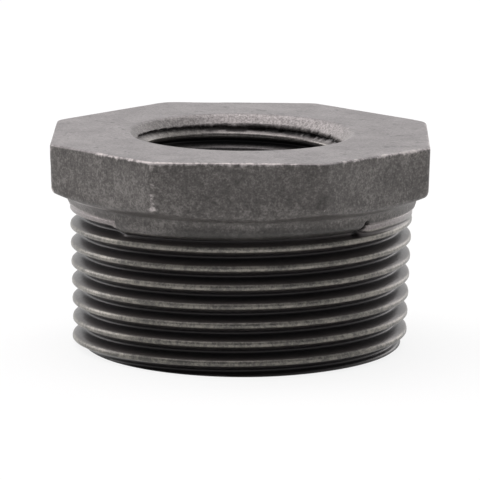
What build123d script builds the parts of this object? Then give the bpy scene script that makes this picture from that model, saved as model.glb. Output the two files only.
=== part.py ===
from build123d import *
from math import atan, ceil, cos, degrees, radians, tan
import os

# Reducing bushing in black malleable iron: one casting, threaded outside and in.
# The taper thread screws into a 1-1/4 inch pipe socket and the bore takes a 3/4 inch pipe.
# Millimetres. The origin is the centre of the small end, and +Z runs up to the wrench head.

# Heights along the axis, from the small end up
thread_length = 17.0
collar_height = 1.97  # end of the thread to where the coned underside of the head begins
head_corner_height = 6.0  # that underside up to the top face, at a corner of the head

# Wrench head, a cast octagon whose sides narrow downwards
head_sides = 8
head_across_flats = 46.0
# How far (x, y) each cast corner lies from that of an even octagon, round from the front left
corner_shifts = (
    (-1.07, 0.1), (0.57, 0.15), (-0.21, -1.07), (0.02, -0.43),
    (-0.23, -0.1), (-0.27, -0.35), (0.14, -1.88), (-0.02, -1.07),
)
head_draft = 1.5  # degrees
head_underside_slope = 22.5  # degrees below level, a cone that the flats run out into
head_corner_radius = 1.0
head_top_edge_bevel = 0.3
head_bottom_edge_bevel = 0.4

# Collar under the head
collar_step = 0.36  # how far it stands out beyond the crests of the thread
collar_undercut = 0.7  # height of the cone that leads in from the collar to the crests
collar_flare = 0.7

# Male taper thread for 1-1/4 inch pipe: 11 threads to the inch, 55 degree form, taper 1 in 16
male_pitch = 25.4 / 11
male_gauge_diameter = 41.910
male_gauge_length = 12.7  # from the small end to where the gauge diameter is measured
diameter_taper = 1 / 16
thread_half_angle = 27.5  # degrees
thread_depth_per_pitch = 0.6403
root_flat_per_pitch = 0.1667
cutter_overrun = 0.25  # how far the thread cutter stands outside the crests
groove_run_out = 0.33  # rise of the last groove past the thread's length, carried round to +X
groove_stop_angle = 46.0  # degrees short of +X, where the last groove stops
small_end_chamfer = 0.9

# Bore for the 3/4 inch female thread, at that thread's minor diameter
bore_diameter = 24.117
mouth_width = 1.59  # of the countersink all round the bore
mouth_angle = 80.0  # degrees, included
mouth_rim_bevel = 0.3
bore_lead_in = 1.0

# Sizes that follow from the ones above
radius_slope = diameter_taper / 2
cone_angle = atan(radius_slope)
groove_depth = thread_depth_per_pitch * male_pitch
root_flat = root_flat_per_pitch * male_pitch
groove_mouth = root_flat + 2 * (groove_depth + cutter_overrun) * tan(radians(thread_half_angle))
top_groove = thread_length + groove_run_out
groove_end = top_groove - male_pitch * groove_stop_angle / 360
turns_below = ceil((top_groove + groove_mouth / 2) / male_pitch)
groove_start = top_groove - turns_below * male_pitch
bore_radius = bore_diameter / 2
mouth_radius = bore_radius + mouth_width


def crest_radius(height):
    """Radius of the cone that the thread's crests lie on."""
    return male_gauge_diameter / 2 + (height - male_gauge_length) * radius_slope


collar_radius = crest_radius(thread_length) + collar_step
collar_top = thread_length + collar_height
corner_reach = head_across_flats / 2 / cos(radians(180 / head_sides))
even_corners = [
    Vector(corner_reach, 0).rotate(Axis.Z, 360 / head_sides * (corner + 0.5) - 135)
    for corner in range(head_sides)
]
head_corners = [even + Vector(*shift) for even, shift in zip(even_corners, corner_shifts)]
underside_reach = corner_reach + head_corner_radius


def underside_height(radius):
    """Height of the head's coned underside at a distance from the axis."""
    return collar_top + (radius - collar_radius) * tan(radians(head_underside_slope))


overall_height = underside_height(corner_reach) + head_corner_height

with BuildPart() as bushing:
    # Turned outline: threaded cone, collar, coned underside of the head
    with BuildSketch(Plane.XZ) as turned_outline:
        flare = (collar_radius, collar_top)
        with BuildLine():
            Polyline(
                (0, overall_height),
                (0, 0),
                (crest_radius(0) - small_end_chamfer, 0),
                (crest_radius(small_end_chamfer), small_end_chamfer),
                (crest_radius(thread_length), thread_length),
                (collar_radius, thread_length + collar_undercut),
                flare,
                (underside_reach, underside_height(underside_reach)),
                (underside_reach, overall_height),
                close=True,
            )
        make_face()
        flare_corner = turned_outline.vertices().sort_by_distance(flare)[0]
        chamfer(flare_corner, collar_flare)
    revolve(axis=Axis.Z)

    # The octagon is drawn at the top face, and its sides run down with draft
    with BuildSketch(Plane.XY.offset(overall_height)) as octagon:
        Polygon(*head_corners, align=None)
        fillet(octagon.vertices(), head_corner_radius)
    extrude(amount=-overall_height, taper=head_draft, mode=Mode.INTERSECT)

    # Cast edges of the head
    chamfer(bushing.faces().sort_by(Axis.Z)[-1].edges(), head_top_edge_bevel)
    cones = bushing.faces().filter_by(GeomType.CONE)
    underside = cones.filter_by_position(Axis.Z, collar_top, underside_height(corner_reach))[0]
    underside_rim = underside.edges().filter_by(GeomType.CIRCLE, reverse=True)
    chamfer(underside_rim, head_bottom_edge_bevel)

    # Bore, countersunk at the mouth and with a short lead-in at the small end
    with Locations((0, 0, overall_height)):
        CounterSinkHole(bore_radius, mouth_radius, counter_sink_angle=mouth_angle)
    mouth_rim = bushing.faces().sort_by(Axis.Z)[-1].inner_wires()[0]
    chamfer(mouth_rim.edges(), mouth_rim_bevel)
    bore_end = bushing.faces().sort_by(Axis.Z)[0].inner_wires()[0]
    chamfer(bore_end.edges(), bore_lead_in)

    # Taper thread: the groove is cut turn by turn, from below the small end to under the collar
    for turn in range(turns_below + 1):
        turn_start = groove_start + turn * male_pitch
        with BuildLine() as groove:
            Helix(
                pitch=male_pitch / cos(cone_angle),
                height=min(male_pitch, groove_end - turn_start),
                radius=crest_radius(turn_start),
                center=(0, 0, turn_start),
                cone_angle=degrees(cone_angle),
            )
        with BuildSketch(Plane(groove.line @ 0, x_dir=(1, 0, 0), z_dir=groove.line % 0)):
            Polygon(
                (-groove_depth, -root_flat / 2),
                (cutter_overrun, -groove_mouth / 2),
                (cutter_overrun, groove_mouth / 2),
                (-groove_depth, root_flat / 2),
                align=None,
            )
        sweep(path=groove.line, is_frenet=True, mode=Mode.SUBTRACT)

bushing.part.label = "bushing"

os.makedirs("parts", exist_ok=True)
export_step(bushing.part, "parts/bushing.step")
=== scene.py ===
import bmesh
import bpy
import numpy as np
from mathutils import Euler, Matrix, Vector


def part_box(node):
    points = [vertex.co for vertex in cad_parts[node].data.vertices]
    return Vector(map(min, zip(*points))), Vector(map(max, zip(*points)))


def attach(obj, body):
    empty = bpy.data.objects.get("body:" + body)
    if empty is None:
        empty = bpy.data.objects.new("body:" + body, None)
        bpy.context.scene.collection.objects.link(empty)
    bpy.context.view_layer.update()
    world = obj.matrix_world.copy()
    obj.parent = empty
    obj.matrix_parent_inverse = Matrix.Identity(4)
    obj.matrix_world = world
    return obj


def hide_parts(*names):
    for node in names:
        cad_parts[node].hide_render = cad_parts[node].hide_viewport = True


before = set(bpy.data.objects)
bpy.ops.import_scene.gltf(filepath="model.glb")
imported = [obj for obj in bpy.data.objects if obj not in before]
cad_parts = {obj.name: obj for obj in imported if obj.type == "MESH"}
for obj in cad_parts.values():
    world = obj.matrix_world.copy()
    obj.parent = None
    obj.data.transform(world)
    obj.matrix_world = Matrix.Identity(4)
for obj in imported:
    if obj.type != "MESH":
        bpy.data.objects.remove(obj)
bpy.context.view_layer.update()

# ---------------------------------------------------------------------------------------
# Bushing: one casting of malleable iron, left with its black scale. A die head has cut the
# taper thread outside and a tap has cut the thread in the bore, so those are bare metal.
# ---------------------------------------------------------------------------------------
mm = 0.001  # lengths here are in millimetres, and the mesh is in metres
highest_corner = np.array(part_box("bushing")[1]) / mm
half_across_flats = highest_corner[0]
total_height = highest_corner[2]

# The mesh is one closed skin. Its columns go round the axis, and its rows go up the outside,
# across the top face, down the bore and back under the small end.
column_count = 372
corner_angles = np.radians(22.5 + 45 * np.arange(8))
chaser_angles = np.radians([-46.0, 44.0, 134.0, 225.0])  # where each of the die's chasers let go


def turned_to(angle, centre):
    """Signed angle from centre to angle, wrapped into -pi to pi."""
    return (angle - centre + np.pi) % (2 * np.pi) - np.pi


def column_angles(count):
    """One turn cut into steps that are short near the head's corners and the die's marks.

    The density of columns is 1 plus a bell curve at each such angle, and the angles are
    where the running total of that density passes equal shares of its whole.
    """
    turn = np.linspace(0, 2 * np.pi, 7201)
    density = np.ones_like(turn)
    crowding = 3.0
    for angles, spread in ((corner_angles, np.radians(1.6)), (chaser_angles, np.radians(2.5))):
        for angle in angles:
            density += crowding * np.exp(-((turned_to(turn, angle) / spread) ** 2))
    total = np.concatenate([[0], np.cumsum((density[1:] + density[:-1]) / 2)])
    return np.interp(np.linspace(0, total[-1], count + 1), total, turn)


def smallest(softness, *reaches):
    """Soft minimum: -s log(sum exp(-r / s)), which rounds the edge where two surfaces meet."""
    least = np.minimum.reduce(reaches)
    total = sum(np.exp((least - reach) / softness) for reach in reaches)
    return least - softness * np.log(total)


def ease(value, start, end):
    """Smooth step from 0 at start to 1 at end."""
    share = np.clip((value - start) / (end - start), 0, 1)
    return share * share * (3 - 2 * share)


def waves(x, y, z, length, seed):
    """Smooth random field: a sum of plane sine waves of about one length, values about -1 to 1."""
    draw = np.random.default_rng(seed)
    field = np.zeros_like(x)
    for _ in range(14):
        direction = draw.normal(size=3)
        direction *= 2 * np.pi / length * draw.uniform(0.7, 1.3) / np.linalg.norm(direction)
        phase = draw.uniform(0, 7)
        field += np.sin(x * direction[0] + y * direction[1] + z * direction[2] + phase)
    return field / 3.2


theta = column_angles(column_count)

# Threads: 55 degree form, 1-1/4 inch taper outside and 3/4 inch parallel inside
flank_slope = 1 / np.tan(np.radians(27.5))
male_pitch = 25.4 / 11
male_depth = 0.6403 * male_pitch
male_root_half = 0.05 * male_pitch
male_gauge_radius = 20.955
male_gauge_length = 12.7  # from the small end to where the gauge radius is measured
last_groove_front = 16.77  # height of the uppermost groove where it crosses -Y
first_narrowing = last_groove_front - male_pitch * 47 / 360  # by the left chaser's mark
second_narrowing = last_groove_front + male_pitch * 44 / 360  # by the front chaser's mark
female_pitch = 25.4 / 14
female_minor = 12.06
female_major = 13.2205
female_root_half = 0.0833 * female_pitch
female_groove_back = 24.87  # height of the first groove where it crosses +Y
mouth_depth = 1.9
mouth_slope = np.tan(np.radians(40))
bore_lead_in = 1.0

# Collar and small end
collar_radius = 21.45
thread_zone_top = 17.7
small_end_radius = 19.9
small_end_skew = 0.7  # the chamfer is wider on the right and narrower on the left
small_end_lift = 0.15  # the end face isn't square: its right side stands this much higher


def crest_radius(z):
    """Cone of the male crests: the gauge radius at the gauge length, and 1 in 32 from there."""
    return male_gauge_radius + (z - male_gauge_length) / 32


def off_axis(angle, z):
    """How far in the shank lies at a point, as its thread was cut a little toward +X."""
    return 0.07 * (1 - np.cos(angle)) * ease(z, 0.2, 3.0)


def lean(angle):
    """How much lower each groove runs than an upright helix, none at the front."""
    return 0.15 * (1 + np.sin(angle))


def cast_collar(z):
    """Radius of the neck before the die reached it: crest cone, rounded step, collar."""
    step = ease(z, 16.9, 17.75)
    return crest_radius(np.minimum(z, 17.0)) * (1 - step) + collar_radius * step


def in_quarter(angle, *values):
    """One value for each quarter between the die's chasers, from the front one round."""
    start = (angle - chaser_angles[3]) % (2 * np.pi)
    marks = [(mark - chaser_angles[3]) % (2 * np.pi) for mark in chaser_angles[:3]]
    return np.select([start < marks[0], start < marks[1], start < marks[2]], values[:3], values[3])


# What each chaser did to its quarter of the neck: front, right, rear and left
chaser_reach = (16.2, 17.35, 17.5, 17.4)  # height up to which it cut level with the crests
chaser_slope = (2.2, 0.8, 2.2, 0.65)  # of the cone above that
chaser_depth = (-0.03, -0.03, -0.03, 0.12)  # how far inside the crests it went at the top


def die_cut(angle, z):
    """How far out the die left the neck: by the crests up to a chaser's reach, then a cone."""
    above = np.maximum(z - in_quarter(angle, *chaser_reach), 0)
    deep = in_quarter(angle, *chaser_depth) * ease(z, 16.9, 17.4)
    return crest_radius(z) - deep + above * in_quarter(angle, *chaser_slope)


def male_radius(angle, z):
    """Outside radius of the shank: the blank, cut back by the helical groove.

    The groove's centre climbs one pitch a turn. Its flanks lean 27.5 degrees and its floor
    lies one thread depth inside the crests. Past each chaser's mark the upper flank of the
    last turn stands closer to the lower one, until the groove runs out under the collar.
    The edge above a groove is rounded less than the edge below it, by a sine of the place
    between two grooves.
    """
    turn = (angle + np.pi / 2) / (2 * np.pi)
    offset = (z + lean(angle) - last_groove_front) / male_pitch - turn
    groove = np.round(offset)
    across = (offset - groove) * male_pitch
    climb = last_groove_front + (turn + groove) * male_pitch
    closing = 0.58 * ease(climb, first_narrowing - 0.02, first_narrowing + 0.03)
    closing += 0.6 * ease(climb, second_narrowing - 0.02, second_narrowing + 0.03)
    closing += 2.4 * ease(climb, second_narrowing + 0.1, second_narrowing + 0.7)
    floor = crest_radius(z) - male_depth
    lower_flank = floor + (-across - male_root_half) * flank_slope
    upper_flank = floor + (across + closing - male_root_half) * flank_slope
    groove_radius = -smallest(0.06, -floor, -lower_flank, -upper_flank)
    chamfer = small_end_radius - small_end_skew * np.cos(angle) + z * (1 + 0.75 * np.cos(angle))
    rounding = 0.11 - 0.075 * np.sin(2 * np.pi * across / male_pitch)
    blank = np.minimum(cast_collar(z), die_cut(angle, z))
    return smallest(rounding, blank, groove_radius, chamfer) - off_axis(angle, z)


def female_radius(angle, z):
    """Inside radius of the bore: the largest of bore, mouth, lead-in and tapped groove.

    The groove's flanks lean as the male ones do. Its first turn is narrower and ragged, by
    two sines of the angle, where the tap broke out through the mouth.
    """
    turn = (angle - np.pi / 2) / (2 * np.pi)
    offset = (z - female_groove_back) / female_pitch - turn
    across = (offset - np.round(offset)) * female_pitch
    ragged = 0.1 * np.sin(angle * 41) * np.sin(angle * 17 + 2) + 0.06 * np.sin(angle * 97)
    closing = (0.45 + ragged) * (z > female_groove_back - 0.6) * (across > 0)
    groove = female_major - (np.abs(across) + closing - female_root_half) * flank_slope
    groove_radius = smallest(0.05, groove, np.full_like(groove, female_major))
    mouth = female_minor + (z - (total_height - mouth_depth)) * mouth_slope
    lead_in = female_minor + bore_lead_in - z
    plain = np.full_like(z, female_minor)
    return -smallest(0.05, -plain, -mouth, -groove_radius, -lead_in)


def helical_rows(pitch, groove_height, turn, phases, bottom, top):
    """Heights of rows that follow a helix, held level where they leave bottom or top.

    Row j stands at groove_height + pitch (phase j + turn), clipped to the zone. At the end
    of a turn each row meets the row one pitch above it, so the seam closes when merged.
    """
    first = np.floor((bottom - groove_height) / pitch - turn.max()) - 1
    last = np.ceil((top - groove_height) / pitch - turn.min()) + 1
    steps = np.arange(first, last + 1)
    height = groove_height + pitch * (np.add.outer(steps, phases).ravel()[:, None] + turn[None, :])
    inside = (height.max(axis=1) > bottom) & (height.min(axis=1) < top)
    held = np.clip(height[inside], bottom, top)
    return np.vstack([np.full_like(held[:1], bottom), held, np.full_like(held[:1], top)])


def rounded_profile(stops, bites, rows_in_corner, rows_between):
    """Profile through stops (radius, height), each corner replaced by a curve.

    A corner's curve is the quadratic (1-s)^2 A + 2 s (1-s) V + s^2 B, with A and B a bite
    back along its two sides. Straight stretches get evenly spaced rows between the curves.
    """
    points = [np.stack(np.broadcast_arrays(r, z, theta)[:2]) for r, z in stops]
    rows = [points[0]]
    leaving = points[0]
    for before, corner, after, bite, between in zip(
        points, points[1:], points[2:], bites, rows_between
    ):
        back = (before - corner) / np.linalg.norm(before - corner, axis=0)
        ahead = (after - corner) / np.linalg.norm(after - corner, axis=0)
        start = corner + back * bite
        end = corner + ahead * bite
        rows += [leaving + (start - leaving) * share for share in np.arange(1, between) / between]
        for s in np.linspace(0, 1, rows_in_corner):
            rows.append((1 - s) ** 2 * start + 2 * s * (1 - s) * corner + s * s * end)
        leaving = end
    last = rows_between[-1]
    rows += [leaving + (points[-1] - leaving) * share for share in np.arange(1, last + 1) / last]
    return np.array(rows)


# Head: corners of the cast octagon at its top face, counted round from the front left
head_corners = np.array([
    (-10.6, -22.88), (10.1, -22.84), (22.79, -10.6), (23.02, 9.1),
    (9.3, 22.9), (-9.8, 22.65), (-22.86, 7.65), (-23.02, -10.6),
])
# Corners that are rounded more than the others: degrees round from +X, and how much more
soft_corners = [(21.5, 0.24), (68, 0.08), (113.4, 0.33), (161.5, 0.1), (-114.8, 0.1)]
head_corner_height = 6.0
head_draft_height = 6.3
head_draft = np.tan(np.radians(1.5))
underside_slope = np.tan(np.radians(22.5))


def head_radius(angle):
    """Distance from the axis to the octagon along each angle, with soft corners.

    A side's distance is that of its line from the axis, over the cosine of the angle
    between them. The soft minimum of all eight sides rounds the corners.
    """
    following = np.roll(head_corners, -1, axis=0)
    sides = []
    for (x0, y0), (x1, y1) in zip(head_corners, following):
        normal = np.array([y1 - y0, x0 - x1])
        normal = normal / np.linalg.norm(normal)
        facing = np.cos(angle) * normal[0] + np.sin(angle) * normal[1]
        distance = x0 * normal[0] + y0 * normal[1]
        sides.append(np.where(facing > 0.2, distance / np.maximum(facing, 0.2), 200.0))
    softness = 0.13 + sum(
        extra * np.exp(-((turned_to(angle, np.radians(at)) / np.radians(8)) ** 2))
        for at, extra in soft_corners
    )
    return smallest(softness, *sides)


# Rows, in order round the section: shank, collar, head, top face, mouth, bore, small end.
# Phases are where rows lie between one groove and the next, in shares of a pitch.
male_phases = np.array([0.0, 0.083, 0.13, 0.25, 0.36, 0.405, 0.5, 0.595, 0.64, 0.75, 0.87, 0.917])
female_phases = np.array([0.0, 0.1, 0.38, 0.5, 0.62, 0.9])
bore_top = 25.4
bore_bottom = 0.05
mouth_radius = 13.66

shank_z = helical_rows(
    male_pitch, last_groove_front, (theta + np.pi / 2) / (2 * np.pi) - lean(theta) / male_pitch,
    male_phases, 0, thread_zone_top,
)
shank_z = np.maximum(shank_z, small_end_lift * ease(np.cos(theta), 0.1, 0.9))
shank_r = male_radius(np.broadcast_to(theta, shank_z.shape), shank_z)
bore_z = helical_rows(
    female_pitch, female_groove_back, (theta - np.pi / 2) / (2 * np.pi), female_phases,
    bore_bottom, bore_top,
)[::-1]
bore_r = female_radius(np.broadcast_to(theta, bore_z.shape), bore_z)

head_top_r = head_radius(theta)
corner_bottom = total_height - head_corner_height
corner_reach = half_across_flats / np.cos(np.pi / 8)
head_bottom_r = head_top_r - head_draft_height * head_draft
underside_z = corner_bottom + (head_bottom_r - corner_reach) * underside_slope
side_bulge = 0.4 * ease(np.abs(np.cos(theta)), 0.72, 0.98)  # the collar is wider at both sides
flare_r = collar_radius - off_axis(theta, thread_zone_top) + side_bulge
flare_z = corner_bottom + (flare_r - corner_reach) * underside_slope
underside_length = (head_bottom_r - flare_r) * np.hypot(1, underside_slope)
flare_bite = np.minimum(0.75, 0.55 * underside_length)
rim_bite = np.minimum(0.7, 0.95 * underside_length - flare_bite)
level = rounded_profile(
    [
        (shank_r[-1], thread_zone_top),
        (flare_r, flare_z),
        (head_bottom_r, underside_z),
        (head_top_r, total_height),
        (mouth_radius, total_height),
        (bore_r[0], bore_top),
    ],
    bites=[flare_bite, rim_bite, 0.35, 0.45],
    rows_in_corner=10,
    rows_between=[4, 4, 10, 12, 4],
)
level_r, level_z = level[:, 0], level[:, 1]
neck_top = 19.5
neck = smallest(0.05, level_r, die_cut(theta, level_z) - off_axis(theta, level_z))
level_r = np.where(level_z < neck_top, neck, level_r)

radius = np.vstack([shank_r, level_r, bore_r, shank_r[:1]])
height = np.vstack([shank_z, level_z, bore_z, shank_z[:1]])

# Cast skin: shallow waves on the as-cast surfaces, none where a tool has cut
row_x, row_y = radius * np.cos(theta), radius * np.sin(theta)
swell = waves(row_x, row_y, height, 7.0, 11) * 0.05 + waves(row_x, row_y, height, 2.2, 12) * 0.022
on_side = ease(height, 18.0, 19.2) * ease(radius, 20.5, 21.3)
on_top = ease(height, total_height - 0.5, total_height - 0.1) * ease(radius, 13.8, 15.0)
radius = radius + np.minimum(swell * 0.6 - 0.01, 0) * on_side * (1 - on_top)
height = height + np.minimum(swell * 0.3, 0) * on_top

# The nick: a slanting gash where the front chaser let go, as (angle, height) of its ends
nick_top = (np.radians(-44.6), 18.15)
nick_foot = (np.radians(-47.9), 16.4)
nick_floor = 20.0


def nick_share(angle, z, r):
    """1 in the nick and 0 off it: exp(-(d / width)^4) of the distance d to its slanting line."""
    along = (z - nick_foot[1]) / (nick_top[1] - nick_foot[1])
    line = nick_foot[0] + (nick_top[0] - nick_foot[0]) * np.clip(along, 0, 1)
    width = 0.24 + 0.16 * np.clip(1 - along, 0, 1)
    length = ease(along, -0.1, 0.05) * (1 - ease(along, 0.92, 1.05))
    return np.exp(-((turned_to(angle, line) * r / width) ** 4)) * length * (r > 17)


radius = radius - nick_share(theta, height, radius) * np.maximum(radius - nick_floor, 0)

grid = np.stack([radius * np.cos(theta), radius * np.sin(theta), height], axis=2)
rows, columns = radius.shape
knot = np.arange(rows * columns).reshape(rows, columns)
quads = np.stack([knot[:-1, :-1], knot[:-1, 1:], knot[1:, 1:], knot[1:, :-1]], axis=2)

bushing_mesh = bpy.data.meshes.new("bushing_casting")
bushing_mesh.from_pydata((grid.reshape(-1, 3) * mm).tolist(), [], quads.reshape(-1, 4).tolist())
skin = bmesh.new()
skin.from_mesh(bushing_mesh)
bmesh.ops.remove_doubles(skin, verts=skin.verts, dist=0.002 * mm)
bmesh.ops.dissolve_degenerate(skin, edges=skin.edges, dist=0.0005 * mm)
skin.to_mesh(bushing_mesh)
skin.free()
bushing_mesh.polygons.foreach_set("use_smooth", [True] * len(bushing_mesh.polygons))

bushing = bpy.data.objects.new("bushing_casting", bushing_mesh)
bpy.context.scene.collection.objects.link(bushing)
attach(bushing, "root")
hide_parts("bushing")

# What the finish needs to know at each point. thread_depth runs from 0 on a crest to 1 at a
# root. The others are 1 where their names say and fade to 0.
points = np.empty(len(bushing_mesh.vertices) * 3)
bushing_mesh.vertices.foreach_get("co", points)
point_x, point_y, point_z = points.reshape(-1, 3).T / mm
point_r = np.hypot(point_x, point_y)
point_angle = np.arctan2(point_y, point_x)
outside = ease(point_r, 16.5, 17.5)
below_crest = crest_radius(point_z) - off_axis(point_angle, point_z) - point_r
below_crest = np.clip(below_crest / male_depth, 0, 1)
inside_root = np.clip((point_r - female_minor) / (female_major - female_minor), 0, 1)
thread_top = in_quarter(point_angle, 16.75, 17.45, 17.5, 17.5)  # front, right, rear, left
in_thread = outside * (1 - ease(point_z, thread_top - 0.25, thread_top + 0.15))
in_thread += (1 - outside) * (1 - ease(point_z, 24.4, 25.0))
thread_depth = (below_crest * outside + inside_root * (1 - outside)) * in_thread
# Painted shade deep in the bore, with oil: below about 22 mm the bore's crests take the dark
# groove colour too.
deep_inside = (1 - outside) * (1 - ease(point_z, 22.2, 23.0))
thread_depth = np.maximum(thread_depth, 0.75 * deep_inside)
below_cut = die_cut(point_angle, point_z) - off_axis(point_angle, point_z) - point_r
cut_face = outside * (point_z > 16.9) * (point_z < 19.4) * (1 - ease(below_cut, 0.06, 0.14))
rim_reach = head_radius(point_angle) - (total_height - point_z) * head_draft
from_rim = np.hypot(rim_reach - point_r, total_height - point_z)
from_corner = np.min([
    np.hypot(point_x - x * 0.995, point_y - y * 0.995) for x, y in head_corners
], axis=0) + 3.0 * (point_z < 20.3) + 0.2 * (point_x > 0)
# Wear and painted highlight along the top rim: strongest at the left, where the light falls, and
# weaker toward the right.
rim_wear_and_highlight = (1 - ease(from_rim, 0.15, 0.7)) * ease(point_x, -20.5, -15.5)
rim_wear_and_highlight *= 1 - 0.3 * ease(point_x, -9.5, 4)
# Painted highlight down the head's corners, fainter on the right, with a brighter fleck near the
# foot.
corner_foot = 1 - ease(np.abs(point_z - 20.7), 0.1, 0.4)
corner_highlight = (1 - ease(from_corner, 0.2, 0.9)) * (0.5 + 0.45 * corner_foot)
worn_edge = np.maximum(rim_wear_and_highlight, corner_highlight)
# Painted shade: the collar darkens down toward the top groove, where it curves in, except at the
# left.
grime = outside * ease(point_x, -13, -5) * (1 - ease(point_z, 17.4, 18.7))
mouth = ease(point_z, 24.9, 25.2) * (1 - ease(point_r, 13.4, 14.0))
first_crests = (1 - outside) * ease(point_z, 21.0, 23.0) * (1 - ease(inside_root, 0.0, 0.3))
# Painted shade: the mouth's bare metal is dimmed on its left side, whose wall faces away from the
# light.
mouth = np.maximum(mouth, first_crests * 0.6) * (0.25 + 0.75 * ease(point_x, -11, -3))
face = ease(point_z, total_height - 0.25, total_height - 0.1)
nick = nick_share(point_angle, point_z, point_r)
for name, values in (
    ("thread_depth", thread_depth), ("in_thread", in_thread), ("cut_face", cut_face),
    ("worn_edge", worn_edge), ("mouth", mouth), ("face", face), ("grime", grime), ("nick", nick),
):
    layer = bushing_mesh.attributes.new(name, "FLOAT", "POINT")
    layer.data.foreach_set("value", values.astype(np.float32))


# Its finish: black scale over grey iron, pebbled by the mould's sand, rubbed bright on crests,
# worn and given painted highlight on the rims, and dark and oily in the grooves with painted
# shade toward their roots
class Socket:
    """A shader value that Python's operators can work on: each one adds a Math node."""

    def __init__(self, nodes, link):
        self.nodes = nodes
        self.link = link

    def _math(self, operation, *values):
        return self.nodes.add("ShaderNodeMath", {"operation": operation}, dict(enumerate(values)))

    def __add__(self, other):
        return self._math("ADD", self, other)

    def __sub__(self, other):
        return self._math("SUBTRACT", self, other)

    def __rsub__(self, other):
        return self._math("SUBTRACT", other, self)

    def __mul__(self, other):
        return self._math("MULTIPLY", self, other)

    __radd__ = __add__
    __rmul__ = __mul__


class Finish:
    """The node tree of a material or a world, built one node at a time by add."""

    def __init__(self, owner):
        owner.use_nodes = True
        self.owner = owner
        self.tree = owner.node_tree
        self.tree.nodes.clear()

    def add(self, kind, settings=None, inputs=None, output=0):
        """Adds a node, sets its settings, then its sockets from values or links."""
        node = self.tree.nodes.new(kind)
        for key, value in (settings or {}).items():
            if key == "stops":
                ramp = node.color_ramp
                while len(ramp.elements) < len(value):
                    ramp.elements.new(0.5)
                for element, (place, colour) in zip(ramp.elements, value):
                    element.position = place
                    element.color = (*colour, 1)
            else:
                setattr(node, key, value)
        for key, value in (inputs or {}).items():
            if isinstance(value, Socket):
                self.tree.links.new(value.link, node.inputs[key])
            else:
                node.inputs[key].default_value = value
        return Socket(self, node.outputs[output])

    def finish(self, surface, end="ShaderNodeOutputMaterial"):
        """Makes surface the owner's own."""
        self.tree.links.new(surface.link, self.tree.nodes.new(end).inputs["Surface"])

    def blend(self, share, first, second):
        """Mixes two colours by share."""
        return self.add(
            "ShaderNodeMix", {"data_type": "RGBA"}, {0: share, 6: first, 7: second}, output=2
        )

    def within(self, value, start, end):
        """Smooth step of a value from start to end."""
        return self.add(
            "ShaderNodeMapRange",
            {"interpolation_type": "SMOOTHSTEP"},
            {"Value": value, "From Min": start, "From Max": end},
        )


iron = Finish(bpy.data.materials.new("black_iron"))
place = iron.add("ShaderNodeTexCoord", output="Object")


def painted(name):
    """One of the mesh's own attributes."""
    return iron.add("ShaderNodeAttribute", {"attribute_name": name}, output="Fac")


def grain(size, detail, roughness=0.6):
    """Noise whose features are about size millimetres across, centred on 0."""
    noise = iron.add(
        "ShaderNodeTexNoise",
        {},
        {"Vector": place, "Scale": 1000 / size, "Detail": detail, "Roughness": roughness},
    )
    return noise - 0.5


depth = painted("thread_depth")
cut = painted("cut_face")
edge = painted("worn_edge")
sand = grain(0.5, 4, 0.7)
flecks = grain(0.24, 2)
patches = grain(4.0, 3)
cast = 1 - iron.within(painted("in_thread") + cut, 0.3, 0.8)
tone = iron.within(sand * 0.6 + flecks * 0.5 + patches * 0.4, -0.24, 0.24)
scale_colour = iron.add(
    "ShaderNodeValToRGB",
    {"stops": [
        (0.0, (0.052, 0.048, 0.046)), (0.5, (0.1, 0.093, 0.088)), (1.0, (0.19, 0.178, 0.17)),
    ]},
    {0: tone},
)
face_colour = iron.blend(tone, (0.13, 0.12, 0.12, 1), (0.28, 0.26, 0.26, 1))
dents = iron.within(grain(1.3, 2), 0.13, 0.2)
face_colour = iron.blend(dents * 0.6, face_colour, (0.07, 0.064, 0.066, 1))
scale_colour = iron.blend(painted("face"), scale_colour, face_colour)
# Painted shade on the lower collar, darker toward the top groove.
scale_colour = iron.blend(painted("grime") * 0.55, scale_colour, (0.03, 0.03, 0.028, 1))
# Wear and painted highlight: the rims and corners are lightened toward a pale grey.
rubbed_and_highlit = iron.within(edge + sand * 1.3 + patches * 1.4, 0.55, 1.15)
scale_colour = iron.blend(rubbed_and_highlit, scale_colour, (0.5, 0.46, 0.45, 1))
mouth_colour = iron.blend(
    iron.within(sand * 0.7 + flecks * 0.8, -0.25, 0.25),
    (0.15, 0.138, 0.136, 1), (0.38, 0.355, 0.35, 1),
)
crest = 1 - iron.within(depth, 0.0, 0.22)
crest_colour = iron.blend(
    iron.within(sand + flecks * 0.7 + patches * 0.8, -0.22, 0.22),
    (0.09, 0.086, 0.078, 1), (0.24, 0.226, 0.198, 1),
)
# Darker toward the roots: oil, and painted shade where the grooves are hidden from the light.
groove_colour = iron.blend(
    iron.within(depth, 0.1, 0.9), (0.07, 0.062, 0.06, 1), (0.02, 0.018, 0.019, 1)
)
thread_colour = iron.blend(crest, groove_colour, crest_colour)
cut_colour = iron.blend(
    iron.within(sand * 0.7 + flecks * 0.7, -0.2, 0.25),
    (0.14, 0.125, 0.122, 1), (0.27, 0.24, 0.235, 1),
)
colour = iron.blend(cast, thread_colour, scale_colour)
colour = iron.blend(cut, colour, cut_colour)
colour = iron.blend(painted("mouth"), colour, mouth_colour)
# Painted shade: the nick is coloured near black, though the lamps reach its floor.
colour = iron.blend(painted("nick") * 0.95, colour, (0.008, 0.007, 0.007, 1))
roughness = 0.33 + sand * 0.2 + cast * 0.15
bump_height = sand * cast * 1.0 + flecks * 0.4 * cast + flecks * 0.15 * (1 - cast)
bump_height = bump_height - dents * painted("face") * 0.5
bumps = iron.add(
    "ShaderNodeBump", {}, {"Strength": 0.45, "Distance": 0.12 * mm, "Height": bump_height}
)
iron.finish(iron.add(
    "ShaderNodeBsdfPrincipled",
    {},
    {"Base Color": colour, "Roughness": roughness, "Metallic": 0.5, "Normal": bumps},
))
bushing_mesh.materials.append(iron.owner)

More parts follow.
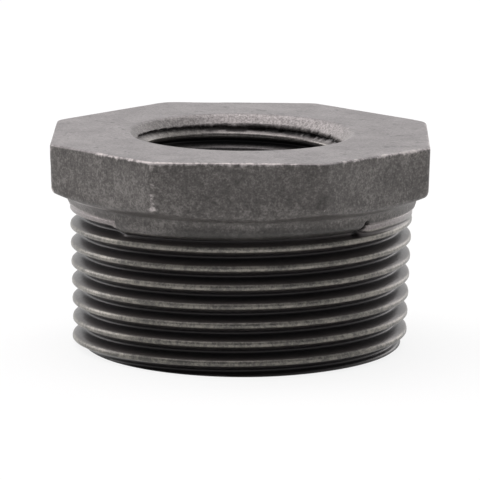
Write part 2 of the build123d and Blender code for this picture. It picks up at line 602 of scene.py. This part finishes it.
# ---------------------------------------------------------------------------------------
# Floor: a plain sheet of white paper, laid flat, that the bushing stands on. To the camera
# it glows as well as reflects, and it keeps the soft shadow at the foot.
# ---------------------------------------------------------------------------------------
floor_size = 6.0
floor_mesh = bpy.data.meshes.new("floor")
floor_corners = [(x, y, 0.0) for x, y in ((-1, -1), (1, -1), (1, 1), (-1, 1))]
floor_mesh.from_pydata((np.array(floor_corners) * floor_size).tolist(), [], [(0, 1, 2, 3)])
floor = bpy.data.objects.new("floor", floor_mesh)
bpy.context.scene.collection.objects.link(floor)
paper = Finish(bpy.data.materials.new("floor_white"))
seen = paper.add("ShaderNodeLightPath", output="Is Camera Ray") * 0.85
seen = seen + paper.add("ShaderNodeLightPath", output="Is Glossy Ray") * 0.6
seen = seen + paper.add("ShaderNodeLightPath", output="Is Transmission Ray") * 0.85
matte = paper.add("ShaderNodeBsdfDiffuse", {}, {"Color": (0.8, 0.8, 0.8, 1)})
glow = paper.add("ShaderNodeEmission", {}, {"Color": (1, 1, 1, 1), "Strength": 1.0})
paper.finish(paper.add("ShaderNodeMixShader", {}, {0: seen, 1: matte, 2: glow}))
floor_mesh.materials.append(paper.owner)

# ---------------------------------------------------------------------------------------
# Light: a white backdrop stands behind and at both sides, and the room in front is dimmer.
# One broad soft box hangs overhead, and a weaker one stands at each side.
# ---------------------------------------------------------------------------------------
room = Finish(bpy.data.worlds.new("room"))
bpy.context.scene.world = room.owner
toward = room.add("ShaderNodeTexCoord", output="Generated")
behind = room.within(room.add("ShaderNodeSeparateXYZ", {}, {0: toward}, output="Y"), -0.65, 0.25)
direct = room.add("ShaderNodeLightPath", output="Is Camera Ray")
direct = direct + room.add("ShaderNodeLightPath", output="Is Transmission Ray")
dim = room.add("ShaderNodeBackground", {}, {"Color": (0.2, 0.2, 0.21, 1)})
white = room.add("ShaderNodeBackground", {}, {"Color": (1, 1, 1, 1)})
room.finish(
    room.add("ShaderNodeMixShader", {}, {0: behind + direct, 1: dim, 2: white}),
    "ShaderNodeOutputWorld",
)


def soft_box(name, at, size, watts):
    """Square area lamp at a point, turned to face the middle of the bushing."""
    lamp = bpy.data.lights.new(name, "AREA")
    lamp.shape = "SQUARE"
    lamp.size = size
    lamp.energy = watts
    lamp.color = (1.0, 0.96, 0.965)
    box = bpy.data.objects.new(name, lamp)
    box.location = at
    middle = Vector((0, 0, 0.015))
    box.rotation_euler = (middle - Vector(at)).to_track_quat("-Z", "Y").to_euler()
    bpy.context.scene.collection.objects.link(box)


soft_box("top_box", (-0.08, 0.0, 0.6), 0.6, 3.0)
soft_box("left_box", (-0.58, 0.24, 0.25), 0.4, 1.6)
soft_box("right_box", (0.48, 0.45, 0.22), 0.4, 1.1)

# ---------------------------------------------------------------------------------------
# Camera: a long lens that looks down a little on the head, square to the front flat and
# rolled half a degree.
# ---------------------------------------------------------------------------------------
image_side = 480
focal_pixels = 4650.0
camera_distance = 0.5717
camera_elevation = np.radians(10.78)
camera_azimuth = np.radians(0.0)
camera_roll = np.radians(0.536)
aim_height = 0.01288
sensor_width = 36.0
lens = bpy.data.cameras.new("camera")
lens.sensor_width = sensor_width
lens.lens = sensor_width * focal_pixels / image_side
lens.shift_x = -0.2 / image_side
lens.clip_start = 0.05
camera = bpy.data.objects.new("camera", lens)
level_reach = np.cos(camera_elevation) * camera_distance
camera.location = (
    np.sin(camera_azimuth) * level_reach,
    -np.cos(camera_azimuth) * level_reach,
    aim_height + np.sin(camera_elevation) * camera_distance,
)
looking = Euler((np.pi / 2 - camera_elevation, 0, camera_azimuth)).to_matrix()
camera.rotation_euler = (looking @ Euler((0, 0, camera_roll)).to_matrix()).to_euler()
bpy.context.scene.collection.objects.link(camera)
bpy.context.scene.camera = camera
bpy.context.scene.view_settings.view_transform = "Standard"
